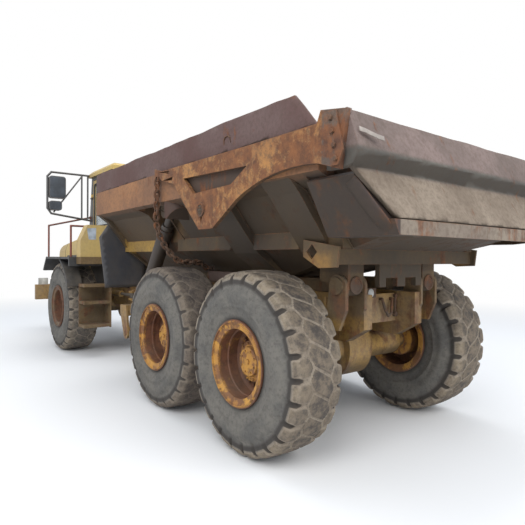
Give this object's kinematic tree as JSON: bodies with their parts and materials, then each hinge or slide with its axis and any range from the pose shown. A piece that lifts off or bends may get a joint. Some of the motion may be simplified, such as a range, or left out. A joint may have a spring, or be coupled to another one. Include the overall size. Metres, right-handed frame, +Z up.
{
  "type": "articulated dump truck",
  "caption": "Weathered yellow articulated dump truck with a ribbed tipping body, hinged tailgate on chains, steered at a centre hitch",
  "frame": {"origin": "centre of the bottom of the bounding box, on the ground", "axes": "+X forward, +Y to the left side, +Z up"},
  "size_m": [10.1, 3.0022, 3.4098],
  "materials": {
    "yellow_paint": "faded and rust-streaked",
    "dark_paint": "dull",
    "body_paint": "worn and muddy",
    "rusty_plate": "rusted, mostly bare",
    "guard_paint": "dull with dust",
    "red_paint": "faded",
    "dark_iron": "oily",
    "rusty_iron": "rusted",
    "rod_steel": "dull",
    "tyre_rubber": "covered with dried mud",
    "black_plastic": "dusty",
    "window_glass": "dusty",
    "lamp_lens": "dusty"
  },
  "bodies": {
    "tractor": {"front_frame": "yellow_paint", "front_axle": "yellow_paint", "engine_block": "dark_iron", "cab_shell": "dark_paint", "cab_roof": "yellow_paint", "cab_interior": "black_plastic", "cab_glass": "window_glass", "front_fenders": "black_plastic", "cab_steps": "yellow_paint", "side_boxes": "yellow_paint", "fender_rails": "red_paint", "mirrors": "dark_paint", "headlamps": "lamp_lens", "exhaust": "rusty_iron"},
    "hood": {"hood": "yellow_paint", "grille": "dark_paint"},
    "cab_door": {"cab_door": "yellow_paint", "door_glass": "window_glass"},
    "hitch": {"hitch_yoke": "yellow_paint"},
    "rear_chassis": {"rear_frame": "yellow_paint", "rear_axles": "yellow_paint", "bogie_beams": "rusty_iron", "rear_fittings": "rusty_iron", "slack_chains": "rusty_iron"},
    "tip_body": {"body_shell": "body_paint", "body_ribs": "body_paint", "side_boards": "rusty_plate", "guard_plates": "guard_paint"},
    "tailgate": {"tailgate_panel": "rusty_plate", "tailgate_arms": "yellow_paint", "tailgate_chains": "rusty_iron"},
    "hoist_barrels": {"hoist_barrels": "yellow_paint"},
    "hoist_stages": {"hoist_stages": "rod_steel"},
    "hoist_rods": {"hoist_rods": "rod_steel"},
    "steer_barrel_left": {"steer_barrel_left": "yellow_paint"},
    "steer_barrel_right": {"steer_barrel_right": "yellow_paint"},
    "steer_rod_left": {"steer_rod_left": "rod_steel"},
    "steer_rod_right": {"steer_rod_right": "rod_steel"},
    "wheel_front_left": {"tyre_front_left": "tyre_rubber", "rim_front_left": "yellow_paint"},
    "wheel_front_right": {"tyre_front_right": "tyre_rubber", "rim_front_right": "yellow_paint"},
    "wheel_middle_left": {"tyre_middle_left": "tyre_rubber", "rim_middle_left": "yellow_paint"},
    "wheel_middle_right": {"tyre_middle_right": "tyre_rubber", "rim_middle_right": "yellow_paint"},
    "wheel_rear_left": {"tyre_rear_left": "tyre_rubber", "rim_rear_left": "yellow_paint"},
    "wheel_rear_right": {"tyre_rear_right": "tyre_rubber", "rim_rear_right": "yellow_paint"}
  },
  "joints": [
    {"name": "wheel_front_left_spin", "type": "hinge", "parent": "tractor", "child": "wheel_front_left", "pos_m": [2.285, 1.108, 0.809], "axis": [0, 1, 0], "continuous": true},
    {"name": "wheel_front_right_spin", "type": "hinge", "parent": "tractor", "child": "wheel_front_right", "pos_m": [2.285, -1.108, 0.809], "axis": [0, 1, 0], "continuous": true},
    {"name": "wheel_middle_left_spin", "type": "hinge", "parent": "rear_chassis", "child": "wheel_middle_left", "pos_m": [-1.89, 1.108, 0.809], "axis": [0, 1, 0], "continuous": true},
    {"name": "wheel_middle_right_spin", "type": "hinge", "parent": "rear_chassis", "child": "wheel_middle_right", "pos_m": [-1.89, -1.108, 0.809], "axis": [0, 1, 0], "continuous": true},
    {"name": "wheel_rear_left_spin", "type": "hinge", "parent": "rear_chassis", "child": "wheel_rear_left", "pos_m": [-3.56, 1.108, 0.809], "axis": [0, 1, 0], "continuous": true},
    {"name": "wheel_rear_right_spin", "type": "hinge", "parent": "rear_chassis", "child": "wheel_rear_right", "pos_m": [-3.56, -1.108, 0.809], "axis": [0, 1, 0], "continuous": true},
    {"name": "steering", "type": "hinge", "parent": "tractor", "child": "hitch", "pos_m": [1.075, 0, 1.15], "axis": [0, 0, 1], "range_deg": [-45, 45]},
    {"name": "frame_roll", "type": "hinge", "parent": "hitch", "child": "rear_chassis", "pos_m": [0.625, 0, 1.15], "axis": [1, 0, 0], "range_deg": [-20, 20]},
    {"name": "body_tip", "type": "hinge", "parent": "rear_chassis", "child": "tip_body", "pos_m": [-4.09, 0, 1.484], "axis": [0, -1, 0], "range_deg": [0, 70]},
    {"name": "tailgate_lift", "type": "hinge", "parent": "tip_body", "child": "tailgate", "pos_m": [-3.08, 0, 2.17], "axis": [0, 1, 0], "range_deg": [0, 55]},
    {"name": "hoist_swing", "type": "hinge", "parent": "rear_chassis", "child": "hoist_barrels", "pos_m": [-0.49, 0, 0.65], "axis": [0, -1, 0], "range_deg": [0, 8]},
    {"name": "hoist_stage_slide", "type": "slide", "parent": "hoist_barrels", "child": "hoist_stages", "axis": [-0.5864, 0, 0.81], "range_m": [0, 1.455]},
    {"name": "hoist_rod_slide", "type": "slide", "parent": "hoist_stages", "child": "hoist_rods", "axis": [-0.5864, 0, 0.81], "range_m": [0, 1.455]},
    {"name": "steer_swing_left", "type": "hinge", "parent": "tractor", "child": "steer_barrel_left", "pos_m": [2.225, 0.54, 1.06], "axis": [0, 0, 1], "range_deg": [-7, 7]},
    {"name": "steer_slide_left", "type": "slide", "parent": "steer_barrel_left", "child": "steer_rod_left", "axis": [-0.9996, -0.0293, 0], "range_m": [-0.38, 0.38]},
    {"name": "steer_swing_right", "type": "hinge", "parent": "tractor", "child": "steer_barrel_right", "pos_m": [2.225, -0.54, 1.06], "axis": [0, 0, 1], "range_deg": [-7, 7]},
    {"name": "steer_slide_right", "type": "slide", "parent": "steer_barrel_right", "child": "steer_rod_right", "axis": [-0.9996, 0.0293, 0], "range_m": [-0.38, 0.38]},
    {"name": "hood_open", "type": "hinge", "parent": "tractor", "child": "hood", "pos_m": [4.94, 0, 1.18], "axis": [0, 1, 0], "range_deg": [0, 50]},
    {"name": "door_open", "type": "hinge", "parent": "tractor", "child": "cab_door", "pos_m": [2.507, 0.68, 2], "axis": [0, 0, -1], "range_deg": [0, 75]}
  ],
  "couplings": [
    {"joint": "tailgate_lift", "follows": "body_tip", "ratio": 0.785},
    {"joint": "hoist_swing", "follows": "body_tip", "ratio": 0.105},
    {"joint": "hoist_stage_slide", "follows": "body_tip", "m_per_rad": 1.19},
    {"joint": "hoist_rod_slide", "follows": "body_tip", "m_per_rad": 1.19},
    {"joint": "steer_swing_left", "follows": "steering", "ratio": 0.14},
    {"joint": "steer_swing_right", "follows": "steering", "ratio": 0.14},
    {"joint": "steer_slide_left", "follows": "steering", "m_per_rad": 0.48},
    {"joint": "steer_slide_right", "follows": "steering", "m_per_rad": -0.48}
  ]
}
